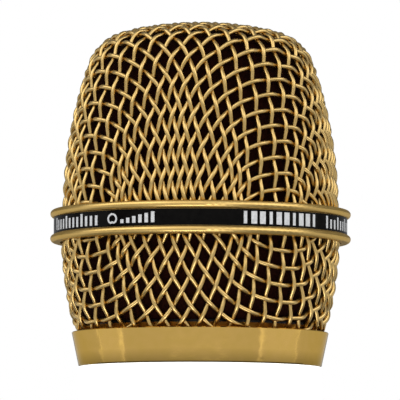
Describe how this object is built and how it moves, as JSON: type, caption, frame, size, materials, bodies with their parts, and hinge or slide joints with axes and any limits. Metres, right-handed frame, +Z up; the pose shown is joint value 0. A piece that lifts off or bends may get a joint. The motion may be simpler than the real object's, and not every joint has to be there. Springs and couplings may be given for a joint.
{
  "type": "microphone head",
  "caption": "Hand-held vocal microphone head: gold woven wire dome and skirt with a waist band and base ring, over a shock-mounted moving-coil capsule.",
  "frame": {"origin": "centre of the foot of the base ring, on the plane it rests on", "axes": "+Z up along the head's axis, from the handle thread to the crown of the dome"},
  "size_m": [0.048, 0.048, 0.0551],
  "materials": {
    "mesh_gold": "gold-plated drawn wire, satin",
    "ring_gold": "gold-plated, finely turned, satin to polished",
    "label_black": "glossy black print film with silver marks",
    "hoop_steel": "plain rolled steel",
    "foam_black": "fine open-cell foam",
    "nylon_white": "natural nylon",
    "hub_metal": "turned, black anodised",
    "board_green": "glass-epoxy board with solder mask",
    "contact_gold": "hard gold plate",
    "cradle_plastic": "moulded, fine spark texture",
    "screw_steel": "zinc-plated, turned",
    "shock_rubber": "soft moulded rubber",
    "lead_red": "soft insulation",
    "lead_black": "soft insulation",
    "capsule_metal": "turned and bead-blasted",
    "capsule_plastic": "moulded",
    "felt_grey": "pressed felt",
    "cloth_black": "fine woven acoustic cloth",
    "yoke_steel": "turned soft iron, zinc-plated",
    "magnet_nickel": "nickel-plated sintered magnet",
    "film_clear": "thin polyester film",
    "coil_copper": "enamelled copper wire",
    "post_tin": "tinned brass"
  },
  "bodies": {
    "base": {"hub": "hub_metal", "contact_board": "board_green", "contact_ring_inner": "contact_gold", "contact_ring_middle": "contact_gold", "contact_ring_outer": "contact_gold", "cradle": "cradle_plastic", "cradle_screws": "screw_steel", "shock_ring_lower": "shock_rubber", "shock_ring_upper": "shock_rubber", "lead_signal": "lead_red", "lead_return": "lead_black"},
    "washer": {"slip_washer": "nylon_white"},
    "grille": {"upper_mesh": "mesh_gold", "lower_mesh": "mesh_gold", "band_ring": "ring_gold", "band_label": "label_black", "seam_hoop": "hoop_steel", "base_ring": "ring_gold", "clamp_ring": "ring_gold", "dome_foam": "foam_black", "skirt_foam": "foam_black"},
    "capsule": {"capsule_housing": "capsule_metal", "terminal_board": "board_green", "solder_posts": "post_tin", "rear_cup": "capsule_plastic", "rear_felt": "felt_grey", "basket": "capsule_plastic", "yoke": "yoke_steel", "magnet": "magnet_nickel", "pole_plate": "yoke_steel", "keeper_ring": "capsule_plastic", "capsule_cap": "capsule_metal", "front_cloth": "cloth_black"},
    "moving_coil": {"diaphragm": "film_clear", "voice_coil": "coil_copper"}
  },
  "joints": [
    {"name": "grille_lift", "type": "slide", "parent": "base", "child": "washer", "axis": [0, 0, 1], "range_m": [0, 0.06]},
    {"name": "grille_turn", "type": "hinge", "parent": "washer", "child": "grille", "pos_m": [0, 0, 0], "axis": [0, 0, 1], "range_deg": [0, 1080]},
    {"name": "capsule_float", "type": "slide", "parent": "base", "child": "capsule", "axis": [0, 0, 1], "range_m": [-0.0008, 0.0008], "stiffness_N_per_m": 800, "springref_m": 0.00028, "deforming": ["shock_ring_lower", "shock_ring_upper", "lead_signal", "lead_return"]},
    {"name": "diaphragm_travel", "type": "slide", "parent": "capsule", "child": "moving_coil", "axis": [0, 0, 1], "range_m": [-0.0002, 0.0002], "stiffness_N_per_m": 250, "springref_m": 0.00001}
  ]
}
